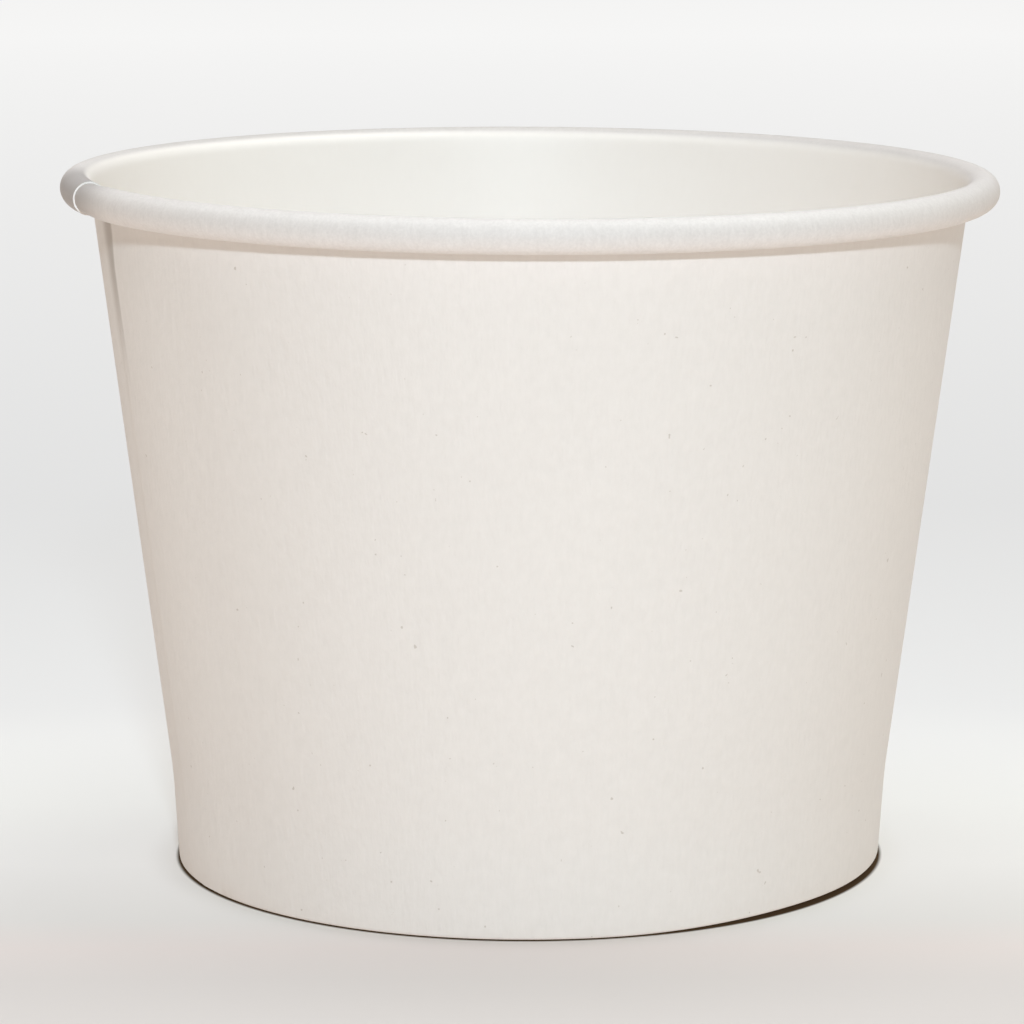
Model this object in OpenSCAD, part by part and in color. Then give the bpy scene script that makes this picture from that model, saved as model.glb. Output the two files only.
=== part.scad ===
// Paper sundae cup: one conical side wall of coated board with a rolled rim,
// and a base disc whose edge is folded down and sealed into the wall's hem.
// Millimetres, +Z up, origin at the centre of the foot, on the table.

/* [Rim] */
// Outer diameter of the rolled rim
rim_diameter = 98; // [90:1:106]
// Diameter of the roll's own section
roll_diameter = 3.45; // [3:0.05:4.4]
// How far the sheet runs on inside the roll, in degrees
tuck_turn = 190; // [120:10:220]

/* [Wall] */
// Height from the table to the top of the rim
cup_height = 73; // [55:1:95]
// Thickness of the coated board
board = 0.35; // [0.25:0.05:0.45]

/* [Foot] */
// Outer diameter of the foot, on the table
foot_diameter = 74.8; // [66:0.2:80]
// Height of the sealed zone at the foot, where the wall stands steeper
seal_height = 9.5; // [7:0.5:12]
// How much the wall leans out over the height of the sealed zone
seal_lean = 0.55; // [0.3:0.05:0.9]
// Glue line on each side of the base disc's skirt
glue_line = 0.05; // [0.03:0.01:0.1]

/* [Side seam] */
// Azimuth where the outer ply starts on the wall, in degrees from +X
seam_azimuth = 199; // [0:1:359]
// Overlap of the two plies, in degrees round the cup
lap_angle = 10; // [8:1:16]
// Turn over which the outer ply comes down past the inner ply's end, in degrees
climb_angle = 5; // [2:1:6]
// How far below the roll the inner ply's flap is cut off, to keep the roll thin
notch_depth = 1.5; // [1:0.5:4]

/* [Hidden] */
$fn = 180;
board_white = [0.93, 0.91, 0.87];
inside_white = [0.95, 0.94, 0.92];
// Largest turn of one chord in a bend, in degrees
bend_step = 15;

// Rolled rim: the wall's inner face becomes the outside of the roll
roll_radius = roll_diameter / 2;
roll_centre = [rim_diameter / 2 - roll_radius, cup_height - roll_radius];
// The sheet turns in by one ply's thickness here, just past the lowest point of the roll
tuck_angle = -75;
tuck_centre = roll_centre + board * [cos(tuck_angle), sin(tuck_angle)];

// Wall: from the top of the sealed zone it runs straight up, tangent to the roll
foot_radius = foot_diameter / 2;
seal_radius = foot_radius + seal_lean;
to_roll = roll_centre - [seal_radius, seal_height];
wall_lean = atan2(to_roll[0], to_roll[1]) - asin((roll_radius - board) / norm(to_roll));
skew_board = board / cos(wall_lean);

// Foot: wall, skirt of the base disc and hem lie side by side in the sealed zone
channel = board + 2 * glue_line;
hem_depth = 2 * board + channel;
disc_fold = 2.5 * board;
disc_top = seal_height - 1.5 * board;
disc_underside = disc_top - board;
hem_top = disc_underside - disc_fold + board;
skirt_foot = 2 * board;

// Side seam: the outer ply comes down in small steps, highest over the inner ply's flap
climb_steps = 5;
function climb(step) = board * (1 - (step + 0.5) / climb_steps);
flap_top = cup_height - roll_diameter - notch_depth;

// Radius of the wall's outer face at height z, in the sealed zone and above it
function seal_face(z) = foot_radius + seal_lean * z / seal_height;
function wall_face(z) = seal_radius + (z - seal_height) * tan(wall_lean);

// Points of a bend after its first, from one angle to the other
function bend(centre, radius, from, to) =
    let (chords = ceil(abs(to - from) / bend_step))
    [for (i = [1 : chords])
        let (angle = from + (to - from) * i / chords)
        centre + radius * [cos(angle), sin(angle)]];

// Section of the sheet, moved out by a shift where it is the outer ply of the seam:
// up the wall's outer face, round inside the roll to its end and back along
// the other face, then round the fold on the table and the hem
function sheet_section(shift) =
    let (
        skew_shift = shift / cos(wall_lean),
        outer = foot_radius + shift,
        inner = foot_radius - hem_depth,
        roll = roll_radius - shift,
        roll_start = 180 - wall_lean,
        tuck_end = tuck_angle - tuck_turn,
        roll_entry = [cos(roll_start), sin(roll_start)]
    )
    concat(
        [[outer - board, 0]],
        bend([outer - board, board], board, -90, 0),
        [[seal_radius + skew_shift, seal_height], roll_centre + (roll - board) * roll_entry],
        bend(roll_centre, roll - board, roll_start, tuck_angle),
        bend(tuck_centre, roll - 2 * board, tuck_angle, tuck_end),
        [tuck_centre + (roll - board) * [cos(tuck_end), sin(tuck_end)]],
        bend(tuck_centre, roll - board, tuck_end, tuck_angle),
        bend(roll_centre, roll, tuck_angle, roll_start),
        [[seal_radius + skew_shift - skew_board, seal_height], [outer - board, board]],
        [[inner + board, board], [seal_face(hem_top) - hem_depth + board, hem_top]],
        [[seal_face(hem_top) - hem_depth, hem_top], [inner, board]],
        bend([inner + board, board], board, 180, 270)
    );

// Section of the inner ply's flap, under the outer ply
function flap_section() = [
    [foot_radius - board, board],
    [foot_radius, board],
    [seal_radius, seal_height],
    [wall_face(flap_top), flap_top],
    [wall_face(flap_top) - skew_board, flap_top],
    [seal_radius - skew_board, seal_height]
];

module side_wall() {
    step = climb_angle / climb_steps;
    lap_end = seam_azimuth + lap_angle;
    color(board_white) {
        rotate_extrude(start = lap_end + climb_angle, angle = 360 - lap_angle - climb_angle)
            polygon(sheet_section(0));
        for (i = [0 : climb_steps - 1])
            rotate_extrude(start = lap_end + i * step, angle = step)
                polygon(sheet_section(climb(i)));
        rotate_extrude(start = seam_azimuth, angle = lap_angle)
            polygon(sheet_section(climb(0)));
        rotate_extrude(start = seam_azimuth, angle = lap_angle)
            polygon(flap_section());
    }
}

module base_disc() {
    outset = board + glue_line;
    edge = seal_face(disc_top - disc_fold) - outset;
    skirt = seal_face(skirt_foot) - outset;
    fold_centre = [edge - disc_fold, disc_top - disc_fold];
    color(inside_white) rotate_extrude()
        polygon(concat(
            [[0, disc_underside], [fold_centre[0], disc_underside]],
            bend(fold_centre, disc_fold - board, 90, 0),
            [[skirt - board, skirt_foot], [skirt, skirt_foot], [edge, fold_centre[1]]],
            bend(fold_centre, disc_fold, 0, 90),
            [[0, disc_top]]
        ));
}

side_wall();
base_disc();
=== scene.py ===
import math

import bpy
from mathutils import Matrix, Vector


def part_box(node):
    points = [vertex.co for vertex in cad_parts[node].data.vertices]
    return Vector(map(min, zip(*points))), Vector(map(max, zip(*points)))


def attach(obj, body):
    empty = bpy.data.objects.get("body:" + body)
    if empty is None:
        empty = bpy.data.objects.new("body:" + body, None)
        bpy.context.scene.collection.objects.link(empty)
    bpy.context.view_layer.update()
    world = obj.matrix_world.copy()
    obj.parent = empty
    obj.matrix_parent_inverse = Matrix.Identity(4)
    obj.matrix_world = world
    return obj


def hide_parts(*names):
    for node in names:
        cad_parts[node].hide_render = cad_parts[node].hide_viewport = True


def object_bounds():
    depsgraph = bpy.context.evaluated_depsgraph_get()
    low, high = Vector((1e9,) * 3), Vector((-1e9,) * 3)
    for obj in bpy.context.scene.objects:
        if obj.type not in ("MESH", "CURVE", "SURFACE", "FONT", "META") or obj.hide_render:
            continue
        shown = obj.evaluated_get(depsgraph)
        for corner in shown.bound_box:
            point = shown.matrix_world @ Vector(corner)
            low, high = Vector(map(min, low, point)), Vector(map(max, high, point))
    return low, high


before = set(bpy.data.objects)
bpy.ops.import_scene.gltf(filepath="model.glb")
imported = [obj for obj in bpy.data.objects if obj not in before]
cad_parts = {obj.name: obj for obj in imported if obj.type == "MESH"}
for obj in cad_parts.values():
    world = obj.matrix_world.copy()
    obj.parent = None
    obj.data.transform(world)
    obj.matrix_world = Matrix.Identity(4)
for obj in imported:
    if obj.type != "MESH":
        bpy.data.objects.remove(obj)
cad_low, cad_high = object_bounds()

# Sizes of the cup, in metres, with the outer ones taken from the frame
MM = 0.001
RIM_RADIUS = (cad_high.x - cad_low.x) / 2
CUP_HEIGHT = cad_high.z
BOARD = 0.35 * MM
GLUE_LINE = 0.05 * MM
ROLL_RADIUS = 1.725 * MM
TUCK_START = math.radians(-75)
TUCK_TURN = math.radians(190)
FOOT_RADIUS = 37.4 * MM
SEAL_HEIGHT = 9.5 * MM
SEAL_LEAN = 0.55 * MM
CREASE = 0.1 * MM
KINK_REACH = 2.0 * MM
DISC_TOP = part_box("base_disc")[1].z
DISC_FOLD = 2.5 * BOARD

# Side seam: azimuth of the inner ply's cut edge on the roll, overlap of the plies,
# turn over which the outer ply comes down, and where it ends on the wall and in the roll
SEAM = math.radians(199)
LAP = math.radians(6)
CLIMB = math.radians(16)
OUTER_EDGE = math.radians(1.5)
ROLL_EDGE = math.radians(-1.5)

# How far the outer ply stands off the inner one: its share at the table, which grows up to a seat,
# and its share on the roll, which takes over between two heights and fades over a turn in degrees
LAP_RISE = 1.05 * BOARD
SEAT_SHARE = 0.15
LAP_SEAT = 3 * MM
ROLL_SHARE = 0.46
ROLL_BLEND = (CUP_HEIGHT - 9 * MM, CUP_HEIGHT - 4 * MM)
ROLL_TURN = 9

# Where the inner ply's flap ends, and where the roll starts, by height and by radius
FLAP_TOP = CUP_HEIGHT - 0.85 * ROLL_RADIUS
ROLL_FOOT = CUP_HEIGHT - 0.9 * ROLL_RADIUS
ROLL_INNER = RIM_RADIUS - 1.9 * ROLL_RADIUS

# Steps round the cup, with four to each ridge of the knurled hem
WALL_STEPS = 376
RIDGE_STEPS = 4
CLIMB_STEPS = 16
LAP_STEPS = 6
ROLL_LAP_STEPS = 2
DISC_STEPS = 180
KNURL_DEPTH = 0.07 * MM

# Rows up the sheets, steps of their bends, and the angle above which an edge stays sharp
WALL_ROW = 1.8 * MM
FOOT_ROW = 2 * MM
CREASE_STEPS = 3
FOLD_STEPS = 6
ROLL_STEPS = 28
TUCK_STEPS = 10
SHARP_ANGLE = math.radians(40)

# Small faults of this cup: it leans, its rim stands high on the seam's side, and its foot lifts off
# the table from an azimuth on, over a turn with a rise at each end, in degrees
RIM_RISE = 0.53 * MM
RIM_LEAN = 0.27 * MM
RIM_DIP = 0.6 * MM
FOOT_LIFT = 0.45 * MM
LIFT_HEIGHT = 12 * MM
LIFT_FROM = 283
LIFT_RISE = 38
LIFT_TURN = 160

# Camera, fitted to the picture
PICTURE = 1024
CAMERA_DISTANCE = 481.9 * MM
CAMERA_HEIGHT = 121.9 * MM
CAMERA_PITCH = math.radians(10.028)
CAMERA_ROLL = math.radians(-0.1)
FOCAL_PIXELS = 4615.2
AXIS_PIXEL = 528.1
SENSOR = 36.0

# Table, in metres, and its colour from front to back, darker just in front of the cup as painted shade
TABLE_SIZE = 8.0
TABLE_DEPTH = (-0.1, 1.3)
TABLE_SWEEP = [
    (0.034, (0.715, 0.68, 0.66)),
    (0.044, (0.795, 0.735, 0.71)),
    (0.05, (0.785, 0.77, 0.75)),
    (0.067, (0.875, 0.865, 0.85)),
    (0.086, (0.87, 0.87, 0.85)),
    (0.123, (0.79, 0.79, 0.79)),
    (0.225, (0.76, 0.76, 0.76)),
    (0.395, (0.82, 0.82, 0.82)),
    (0.93, (0.99, 0.99, 0.99)),
]


# Node maths
class Signal:
    """A socket of a material, so that shader maths reads as arithmetic."""

    def __init__(self, tree, socket=None):
        self.tree = tree
        self.socket = socket

    def node(self, kind, settings=None, inputs=None, output=0):
        """Adds a node: its settings first, then the values or links of its sockets."""
        made = self.tree.nodes.new("ShaderNode" + kind)
        for name, value in (settings or {}).items():
            if name == "stops":
                self.set_stops(made.color_ramp, value)
            else:
                setattr(made, name, value)
        for name, value in (inputs or {}).items():
            if isinstance(value, Signal):
                self.tree.links.new(value.socket, made.inputs[name])
            else:
                made.inputs[name].default_value = value
        return Signal(self.tree, made.outputs[output] if made.outputs else None)

    @staticmethod
    def set_stops(ramp, stops):
        while len(ramp.elements) < len(stops):
            ramp.elements.new(1.0)
        for element, (position, colour) in zip(ramp.elements, stops):
            element.position = position
            element.color = (*colour, 1.0)

    def maths(self, operation, first, second):
        return self.node("Math", {"operation": operation}, {0: first, 1: second})

    def __add__(self, other):
        return self.maths("ADD", self, other)

    def __radd__(self, other):
        return self.maths("ADD", other, self)

    def __sub__(self, other):
        return self.maths("SUBTRACT", self, other)

    def __rsub__(self, other):
        return self.maths("SUBTRACT", other, self)

    def __mul__(self, other):
        return self.maths("MULTIPLY", self, other)

    def __rmul__(self, other):
        return self.maths("MULTIPLY", other, self)

    def stretch(self, factors):
        """These coordinates, scaled along each axis."""
        return self.node("VectorMath", {"operation": "MULTIPLY"}, {0: self, 1: factors})

    def dot(self, direction):
        """How far these coordinates reach along a direction."""
        return self.node("VectorMath", {"operation": "DOT_PRODUCT"}, {0: self, 1: direction}, "Value")

    def length(self):
        return self.node("VectorMath", {"operation": "LENGTH"}, {0: self}, "Value")

    def noise(self, scale, detail=2.0, roughness=0.5):
        sockets = {"Vector": self, "Scale": scale, "Detail": detail, "Roughness": roughness}
        return self.node("TexNoise", None, sockets)

    def ramp(self, low, high):
        """0 below the low value and 1 above the high one, smooth between."""
        sockets = {"Value": self, "From Min": low, "From Max": high}
        return self.node("MapRange", {"interpolation_type": "SMOOTHSTEP"}, sockets)

    def span(self, low, high):
        """0 at the low value and 1 at the high one, straight between."""
        return self.node("MapRange", None, {"Value": self, "From Min": low, "From Max": high})

    def part(self, axis):
        """One of these coordinates."""
        return self.node("SeparateXYZ", None, {0: self}, axis)

    def mix(self, first, second):
        """The first colour where this is 0, the second where it is 1."""
        return self.node("Mix", {"data_type": "RGBA"}, {0: self, 6: first, 7: second}, 2)


def colour(red, green, blue):
    return (red, green, blue, 1.0)


def new_finish(name):
    """An empty node material, with its start for shader maths and its object coordinates."""
    finish = bpy.data.materials.new(name)
    finish.use_nodes = True
    finish.node_tree.nodes.clear()
    start = Signal(finish.node_tree)
    place = start.node("TexCoord", output="Object")
    return finish, start, place


def surface(start, sockets):
    shader = start.node("BsdfPrincipled", None, sockets)
    start.node("OutputMaterial", None, {"Surface": shader})


def bump(start, height, strength):
    """A normal from a height in metres."""
    sockets = {"Height": height, "Distance": 1.0, "Strength": strength}
    return start.node("Bump", None, sockets)


def seam_axes(place):
    """Distances from the cup's axis: across the seam, and towards it."""
    across = place.dot((-math.sin(SEAM), math.cos(SEAM), 0.0))
    towards = place.dot((math.cos(SEAM), math.sin(SEAM), 0.0))
    return across, towards


# Finishes
def outside_paper():
    finish, start, place = new_finish("outside_paper")
    fibre = place.stretch((1.0, 1.0, 0.22)).noise(2400.0, 3.0, 0.6)
    felt = place.noise(900.0, 2.0)
    cloud = place.noise(70.0, 2.0)
    tone = 0.5 + 0.35 * (cloud - 0.5) + 0.8 * (felt - 0.5) + 0.9 * (fibre - 0.5)
    paint = tone.mix(colour(0.762, 0.727, 0.697), colour(0.816, 0.781, 0.752))

    # Painted shade: a dark line along the seam's edge, which fades down the wall; and specks in the
    # board
    across, towards = seam_axes(place)
    seam_shade = across.ramp(-2.7 * MM, 0.3 * MM) * (1.0 - across.ramp(2.0 * MM, 2.7 * MM))
    seam_shade = seam_shade * towards.ramp(0.0, FOOT_RADIUS / 2) * place.part("Z").ramp(50 * MM, 67 * MM)
    paint = (0.85 * seam_shade).mix(paint, colour(0.45, 0.40, 0.36))
    speck = place.noise(1500.0, 1.0).ramp(0.775, 0.81)
    paint = (0.45 * speck).mix(paint, colour(0.40, 0.34, 0.28))

    height = 0.05 * MM * fibre + 0.05 * MM * felt
    surface(start, {
        "Base Color": paint,
        "Roughness": 0.55 + 0.12 * felt,
        "Sheen Weight": 0.08,
        "Normal": bump(start, height, 1.0),
    })
    return finish


def coated_paper():
    finish, start, place = new_finish("coated_paper")
    stroke = place.stretch((1.0, 1.0, 0.25)).noise(1900.0, 2.0, 0.55)
    cloud = place.noise(80.0, 2.0)
    grain = place.noise(3600.0, 2.0, 0.6)
    tone = 0.5 + 0.4 * (cloud - 0.5) + 0.35 * (stroke - 0.5)

    # The inside, with painted shade that darkens it towards the base
    inside = tone.mix(colour(0.925, 0.878, 0.835), colour(0.965, 0.925, 0.885))
    deep_shade = 1.0 - place.part("Z").ramp(DISC_TOP, DISC_TOP + 30 * MM)
    inside = (0.9 * deep_shade).mix(inside, colour(0.76, 0.725, 0.68))

    # The roll, where the stretched film is grainy, with painted shade at the back and beside the seam
    worn = tone + 1.2 * (grain - 0.5) + 0.5 * (stroke - 0.5)
    roll = worn.mix(colour(0.675, 0.64, 0.62), colour(0.785, 0.75, 0.73))
    # Painted shade: the roll is painted darker towards the back
    back_shade = place.part("Y").ramp(-5 * MM, 35 * MM)
    roll = (0.4 * back_shade).mix(roll, colour(0.46, 0.43, 0.41))
    # Painted shade: the roll is painted greyer beside the seam, where it faces away from the light
    across, towards = seam_axes(place)
    seam_side_shade = across.ramp(-18 * MM, -7 * MM) * (1.0 - across.ramp(-1 * MM, 11 * MM))
    seam_side_shade = seam_side_shade * towards.ramp(0.0, FOOT_RADIUS)
    roll = (0.9 * seam_side_shade).mix(roll, colour(0.43, 0.40, 0.385))

    rolled = place.stretch((1.0, 1.0, 0.0)).length().ramp(ROLL_INNER, ROLL_INNER + 0.4 * ROLL_RADIUS)
    rolled = rolled * place.part("Z").ramp(CUP_HEIGHT - 5 * ROLL_RADIUS, CUP_HEIGHT - 2 * ROLL_RADIUS)
    height = 0.014 * MM * stroke + 0.025 * MM * rolled * grain + 0.02 * MM * place.noise(420.0)
    surface(start, {
        "Base Color": rolled.mix(inside, roll),
        "Roughness": 0.42 + 0.1 * stroke + 0.1 * rolled,
        "Specular IOR Level": 0.4,
        "Normal": bump(start, height, 0.7),
    })
    return finish


def cut_board():
    finish, start, place = new_finish("cut_board")
    fibre = place.noise(5200.0, 2.0)
    surface(start, {
        "Base Color": fibre.mix(colour(0.88, 0.85, 0.83), colour(0.95, 0.93, 0.91)),
        "Roughness": 0.9,
        "Normal": bump(start, 0.03 * MM * fibre, 0.6),
    })
    return finish


def pale_table():
    finish, start, place = new_finish("pale_table")
    depth = place.part("Y")
    reach = place.stretch((1.0, 1.0, 0.0)).length()
    sweep = depth.node("ValToRGB", {"stops": TABLE_SWEEP}, {"Fac": depth.span(*TABLE_DEPTH)})
    # Painted light: for rays other than the camera's, the table is a warmer copy that partly glows,
    # standing in for light bounced off it
    pale = start.node("BsdfDiffuse", None, {"Color": colour(0.93, 0.79, 0.69)})
    bounce_glow = start.node("Emission", None, {"Color": colour(0.98, 0.93, 0.89)})
    lit = start.node("MixShader", None, {0: 0.4, 1: pale, 2: bounce_glow})
    # Painted shadow: the table is near black under the foot, for the dark line where the foot meets it
    foot_shadow = reach.ramp(FOOT_RADIUS, FOOT_RADIUS + 0.5 * MM)
    near = start.node("BsdfDiffuse", None, {"Color": foot_shadow.mix(colour(0.07, 0.045, 0.025), sweep)})
    # The camera sees the table partly as a glow in the sweep's colours, with its painted shade in
    # front of the cup, and more so away from the foot
    glow = start.node("Emission", None, {"Color": sweep})
    far = 0.45 * reach.ramp(FOOT_RADIUS, FOOT_RADIUS + 4 * MM) + 0.4 * reach.ramp(0.06, 0.25)
    shown = start.node("MixShader", None, {0: far, 1: near, 2: glow})
    seen = start.node("LightPath", output="Is Camera Ray")
    mirrored = start.node("LightPath", output="Is Glossy Ray")
    both = start.node("MixShader", None, {0: seen + mirrored, 1: lit, 2: shown})
    start.node("OutputMaterial", None, {"Surface": both})
    return finish


# Modelling
def draw_line(name, points):
    """A chain of edges through the points, drawn by extruding one vertex."""
    bpy.ops.object.select_all(action="DESELECT")
    bpy.ops.mesh.primitive_plane_add(size=BOARD)
    piece = bpy.context.object
    piece.name = name
    piece.data.name = name
    bpy.ops.object.mode_set(mode="EDIT")
    bpy.ops.mesh.merge(type="CENTER")
    bpy.ops.transform.translate(value=points[0])
    for here, there in zip(points, points[1:]):
        bpy.ops.mesh.extrude_region_move(TRANSFORM_OT_translate={"value": there - here})
    return piece


def spin(steps, angle):
    """Turns the selected line about the cup's axis, and leaves its last copy selected."""
    bpy.ops.mesh.spin(steps=steps, angle=-angle, center=(0, 0, 0), axis=(0, 0, 1))


def arc(centre, radius, start, end, pieces):
    """Points of an arc after its first, as radius and height."""
    turns = [start + (end - start) * i / pieces for i in range(1, pieces + 1)]
    return [centre + radius * Vector((math.cos(turn), math.sin(turn))) for turn in turns]


def straight(start, end, pitch):
    """Points after the first on a straight run, at about the pitch."""
    pieces = max(1, round((end - start).length / pitch))
    return [start.lerp(end, i / pieces) for i in range(1, pieces + 1)]


def placed(section, turn):
    """Radius and height points, placed at a turn about the cup's axis."""
    across = Vector((math.cos(turn), math.sin(turn), 0))
    return [across * point.x + Vector((0, 0, point.y)) for point in section]


def seal_face(z):
    """Radius of the wall's outer face in the sealed zone."""
    return FOOT_RADIUS + SEAL_LEAN * z / SEAL_HEIGHT


def sheet_section():
    """The coated face of the wall's sheet: hem, fold on the table, wall, roll, tuck."""
    hem_depth = 3 * BOARD + 2 * GLUE_LINE
    hem_top = DISC_TOP - DISC_FOLD
    hem_face = FOOT_RADIUS - hem_depth + BOARD
    wall_face = FOOT_RADIUS - BOARD
    fold = BOARD + CREASE
    roll_centre = Vector((RIM_RADIUS - ROLL_RADIUS, CUP_HEIGHT - ROLL_RADIUS))
    kink = Vector((seal_face(SEAL_HEIGHT) - BOARD, SEAL_HEIGHT))
    to_roll = roll_centre - kink
    lean = math.atan2(to_roll.x, to_roll.y) - math.asin(ROLL_RADIUS / to_roll.length)
    entry = math.pi - lean
    roll_start = roll_centre + ROLL_RADIUS * Vector((math.cos(entry), math.sin(entry)))
    tuck_centre = roll_centre + BOARD * Vector((math.cos(TUCK_START), math.sin(TUCK_START)))

    points = [Vector((seal_face(hem_top) - hem_depth + BOARD, hem_top))]
    points += straight(points[-1], Vector((hem_face, fold)), FOOT_ROW)
    points += arc(Vector((hem_face + CREASE, fold)), CREASE, math.pi, 1.5 * math.pi, CREASE_STEPS)
    points += [Vector((wall_face - CREASE, BOARD))]
    points += arc(Vector((wall_face - CREASE, fold)), CREASE, -math.pi / 2, 0, CREASE_STEPS)
    below = kink.lerp(Vector((wall_face, 0)), KINK_REACH / SEAL_HEIGHT)
    above = kink.lerp(roll_start, KINK_REACH / (roll_start - kink).length)
    points += straight(points[-1], below, WALL_ROW)
    for share in (0.2, 0.4, 0.6, 0.8, 1):
        points.append(below.lerp(kink, share).lerp(kink.lerp(above, share), share))
    points += straight(above, roll_start, WALL_ROW)
    points += arc(roll_centre, ROLL_RADIUS, entry, TUCK_START, ROLL_STEPS)
    tuck_end = TUCK_START - TUCK_TURN
    points += arc(tuck_centre, ROLL_RADIUS - BOARD, TUCK_START, tuck_end, TUCK_STEPS)
    return points


def select_points(piece, test):
    """Keeps only those selected points that pass the test."""
    bpy.ops.object.mode_set(mode="OBJECT")
    mesh = piece.data
    kept = [vertex.index for vertex in mesh.vertices if vertex.select and test(vertex.co)]
    for group in (mesh.vertices, mesh.edges, mesh.polygons):
        for item in group:
            item.select = False
    for index in kept:
        mesh.vertices[index].select = True
    bpy.ops.object.mode_set(mode="EDIT")


def assign_weight(weight):
    """Gives the selected points this weight in the active vertex group."""
    bpy.context.tool_settings.vertex_group_weight = weight
    bpy.ops.object.vertex_group_assign()


def weigh(piece, name, rule):
    """A vertex group whose weights follow a rule of place."""
    group = piece.vertex_groups.new(name=name)
    for vertex in piece.data.vertices:
        weight = rule(vertex.co)
        if weight > 0:
            group.add([vertex.index], weight, "REPLACE")


def scale_weights(piece, name, rule):
    """Multiplies the weights of a vertex group by a rule of place."""
    index = piece.vertex_groups[name].index
    for vertex in piece.data.vertices:
        for member in vertex.groups:
            if member.group == index:
                member.weight *= rule(vertex.co)


def displace(piece, group, distance, direction="NORMAL"):
    """Moves a vertex group by its weights and applies it."""
    change = piece.modifiers.new(group, "DISPLACE")
    change.vertex_group = group
    change.strength = distance
    change.mid_level = 0.0
    change.direction = direction
    bpy.ops.object.modifier_apply(modifier=change.name)


def smoothstep(low, high, value):
    share = min(max((value - low) / (high - low), 0.0), 1.0)
    return share * share * (3 - 2 * share)


def face_towards(piece, measure):
    """Points the faces of an open sheet the way in which the measure adds up to more than 0."""
    bpy.ops.object.mode_set(mode="EDIT")
    bpy.ops.mesh.select_all(action="SELECT")
    bpy.ops.mesh.normals_make_consistent(inside=False)
    bpy.ops.object.mode_set(mode="OBJECT")
    if sum(measure(face) for face in piece.data.polygons) < 0:
        bpy.ops.object.mode_set(mode="EDIT")
        bpy.ops.mesh.flip_normals()
        bpy.ops.object.mode_set(mode="OBJECT")


def outwards(face):
    """How far a face halfway up the wall looks away from the cup's axis."""
    halfway = abs(face.center.z - CUP_HEIGHT / 2) < 2 * WALL_ROW
    return face.normal.xy.dot(face.center.xy) if halfway else 0.0


def upwards(face):
    return face.normal.z * face.area


def thicken(piece, offset, finishes):
    """Gives a sheet its board, with finishes for the face that faces out, the other, the edge."""
    for finish in finishes:
        piece.data.materials.append(finish)
    change = piece.modifiers.new("board", "SOLIDIFY")
    change.thickness = BOARD
    change.offset = offset
    change.use_even_offset = True
    change.material_offset = 1
    change.material_offset_rim = 2
    bpy.ops.object.modifier_apply(modifier=change.name)


def azimuth(point):
    """Azimuth in degrees, from 0 to 360."""
    return math.degrees(math.atan2(point.y, point.x)) % 360


def height_weight(point):
    """0 at the table and 1 at the rim."""
    return max(point.z, 0) / CUP_HEIGHT


def dip_weight(point):
    """How much the rim sits low, which grows away from the seam."""
    return (1 + point.x / RIM_RADIUS) / 2 * height_weight(point)


def lift_weight(point):
    """How much the foot stands off the table, which fades up the wall."""
    turn = (azimuth(point) - LIFT_FROM) % 360
    along = smoothstep(0, LIFT_RISE, turn) * (1 - smoothstep(LIFT_TURN - LIFT_RISE, LIFT_TURN, turn))
    return along * max(0.0, 1 - point.z / LIFT_HEIGHT) ** 2


def knurl_weight(point):
    """Upright ridges pressed into the hem."""
    if point.xy.length > FOOT_RADIUS - 2 * BOARD or point.z > DISC_TOP:
        return 0.0
    pitch = (360 - math.degrees(LAP + CLIMB)) / WALL_STEPS * RIDGE_STEPS
    ridge = 0.5 + 0.5 * math.cos(2 * math.pi * (azimuth(point) - math.degrees(SEAM)) / pitch)
    return ridge * smoothstep(2 * BOARD, 6 * BOARD, point.z)


def on_roll(point):
    return point.xy.length > ROLL_INNER or point.z > ROLL_FOOT


def on_outer_ply(point):
    """True on the wall and the roll, false on the hem and the fold."""
    return point.z > BOARD + 0.9 * CREASE and point.xy.length > FOOT_RADIUS - BOARD - CREASE


def on_flap(point):
    """True on the line at the seam that the inner ply's flap starts from."""
    at_seam = abs(azimuth(point) - math.degrees(SEAM)) < 0.01
    return at_seam and point.xy.length < ROLL_INNER and point.z < FLAP_TOP


def lap_share(point):
    """How far the outer ply stands off the inner one: little at the foot and on the roll."""
    if not on_outer_ply(point):
        return 0.0
    wall = SEAT_SHARE + (1 - SEAT_SHARE) * smoothstep(0, LAP_SEAT, point.z)
    roll = ROLL_SHARE * (1 - smoothstep(0, ROLL_TURN, azimuth(point) - math.degrees(SEAM)))
    return wall + (roll - wall) * smoothstep(*ROLL_BLEND, point.z)


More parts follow.
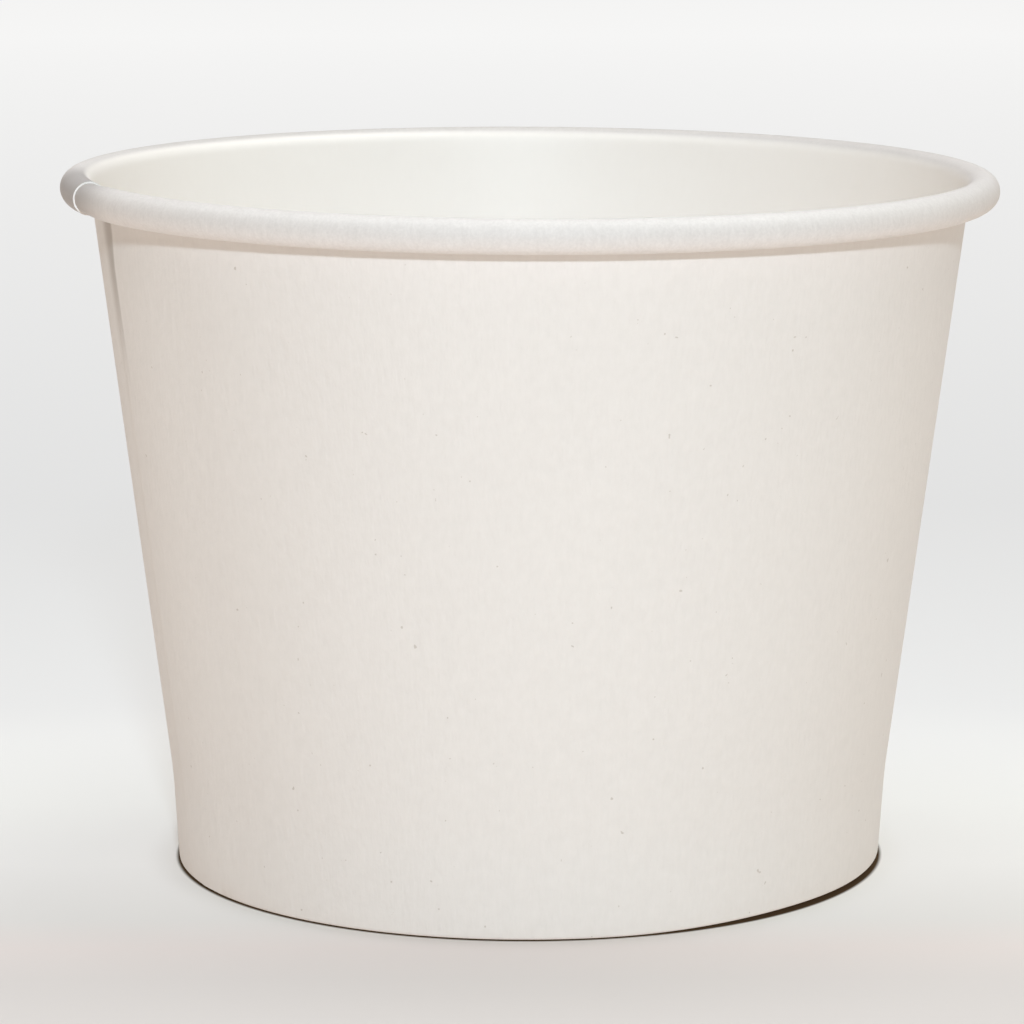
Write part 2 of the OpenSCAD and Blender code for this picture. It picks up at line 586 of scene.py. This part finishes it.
def make_side_wall(finishes):
    wall = draw_line("side_wall_sheet", placed(sheet_section(), SEAM))
    bpy.ops.mesh.select_all(action="SELECT")
    spin(WALL_STEPS, LAP + CLIMB - 2 * math.pi)

    # The outer ply climbs, covers the flap up to its edge, and goes on in the roll alone
    wall.vertex_groups.new(name="lap")
    for step in range(1, CLIMB_STEPS + 1):
        spin(1, -CLIMB / CLIMB_STEPS)
        assign_weight(smoothstep(0, 1, step / CLIMB_STEPS))
    select_points(wall, on_outer_ply)
    spin(LAP_STEPS, OUTER_EDGE - LAP)
    select_points(wall, on_roll)
    spin(ROLL_LAP_STEPS, ROLL_EDGE - OUTER_EDGE)
    bpy.ops.mesh.select_all(action="SELECT")
    select_points(wall, on_flap)
    spin(LAP_STEPS, LAP)
    bpy.ops.object.mode_set(mode="OBJECT")
    face_towards(wall, outwards)

    scale_weights(wall, "lap", lap_share)
    displace(wall, "lap", LAP_RISE)

    weigh(wall, "height", height_weight)
    displace(wall, "height", RIM_RISE, "Z")
    displace(wall, "height", RIM_LEAN, "X")
    weigh(wall, "rim_dip", dip_weight)
    displace(wall, "rim_dip", -RIM_DIP, "Z")
    weigh(wall, "foot_lift", lift_weight)
    displace(wall, "foot_lift", FOOT_LIFT, "Z")
    weigh(wall, "knurl", knurl_weight)
    displace(wall, "knurl", KNURL_DEPTH)
    thicken(wall, 1.0, finishes)
    bpy.ops.object.shade_smooth_by_angle(angle=SHARP_ANGLE)
    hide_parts("side_wall")
    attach(wall, "root")


def make_base_disc(finishes):
    outset = BOARD + GLUE_LINE
    skirt_foot = 2 * BOARD
    edge = seal_face(DISC_TOP - DISC_FOLD) - outset
    fold_centre = Vector((edge - DISC_FOLD, DISC_TOP - DISC_FOLD))
    points = [Vector((seal_face(skirt_foot) - outset, skirt_foot))]
    points += straight(points[-1], Vector((edge, fold_centre.y)), FOOT_ROW)
    points += arc(fold_centre, DISC_FOLD, 0, math.pi / 2, FOLD_STEPS)
    points += straight(points[-1], Vector((0, DISC_TOP)), FOOT_ROW)
    disc = draw_line("base_disc_sheet", placed(points, SEAM))
    bpy.ops.mesh.select_all(action="SELECT")
    spin(DISC_STEPS, 2 * math.pi)
    bpy.ops.mesh.select_all(action="SELECT")
    bpy.ops.mesh.remove_doubles(threshold=BOARD / 100)
    bpy.ops.object.mode_set(mode="OBJECT")
    face_towards(disc, upwards)
    thicken(disc, -1.0, finishes)
    bpy.ops.object.shade_smooth_by_angle(angle=SHARP_ANGLE)
    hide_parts("base_disc")
    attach(disc, "root")


def make_table():
    bpy.ops.object.select_all(action="DESELECT")
    bpy.ops.mesh.primitive_plane_add(size=TABLE_SIZE)
    table = bpy.context.object
    table.name = "table"
    table.data.materials.append(pale_table())


# Light
def area_light(name, direction, distance, size, level, tint):
    """A lamp aimed at the cup from an azimuth and elevation, with its level on a surface facing it."""
    turn, elevation = map(math.radians, direction)
    lamp = bpy.data.lights.new(name, "AREA")
    lamp.shape = "DISK"
    lamp.size = size
    lamp.energy = level * (math.pi * distance) ** 2
    lamp.color = tint
    holder = bpy.data.objects.new(name, lamp)
    bpy.context.collection.objects.link(holder)
    flat = math.cos(elevation)
    way = Vector((flat * math.cos(turn), flat * math.sin(turn), math.sin(elevation)))
    holder.location = Vector((0, 0, CUP_HEIGHT / 2)) + way * distance
    holder.rotation_euler = way.to_track_quat("Z", "Y").to_euler()


def make_light():
    area_light("key", (273, 23), 1.0, 0.07, 0.545, (0.75, 0.885, 1.0))
    area_light("overhead_left", (150, 70), 1.2, 0.8, 0.37, (0.90, 0.94, 1.0))
    area_light("overhead_right", (30, 70), 1.2, 0.8, 0.46, (1.0, 1.0, 0.99))
    world = bpy.data.worlds.new("studio")
    world.use_nodes = True
    world.node_tree.nodes.clear()
    start = Signal(world.node_tree)
    way = start.node("TexCoord", output="Generated")
    sides = way.part("X").ramp(-0.8, 0.6).mix(colour(0.27, 0.212, 0.14), colour(0.325, 0.315, 0.25))
    room = way.part("Y").ramp(0.45, 0.85).mix(sides, colour(0.25, 0.25, 0.30))
    seen = start.node("LightPath", output="Is Camera Ray")
    shade = seen.mix(room, colour(0.90, 0.90, 0.90))
    light = start.node("Background", None, {"Color": shade})
    start.node("OutputWorld", None, {"Surface": light})
    bpy.context.scene.world = world


def make_camera():
    camera = bpy.data.cameras.new("camera")
    camera.sensor_width = SENSOR
    camera.lens = SENSOR * FOCAL_PIXELS / PICTURE
    camera.shift_x = (PICTURE / 2 - AXIS_PIXEL) / PICTURE
    holder = bpy.data.objects.new("camera", camera)
    bpy.context.collection.objects.link(holder)
    tilt = Matrix.Rotation(math.pi / 2 - CAMERA_PITCH, 4, "X")
    roll = Matrix.Rotation(CAMERA_ROLL, 4, "Z")
    place = Matrix.Translation((0, -CAMERA_DISTANCE, CAMERA_HEIGHT))
    holder.matrix_world = place @ tilt @ roll
    bpy.context.scene.camera = holder


outside = outside_paper()
coated = coated_paper()
cut_edge = cut_board()
make_side_wall([outside, coated, cut_edge])
make_base_disc([coated, outside, cut_edge])
make_table()
make_light()
make_camera()
bpy.context.scene.view_settings.view_transform = "Standard"
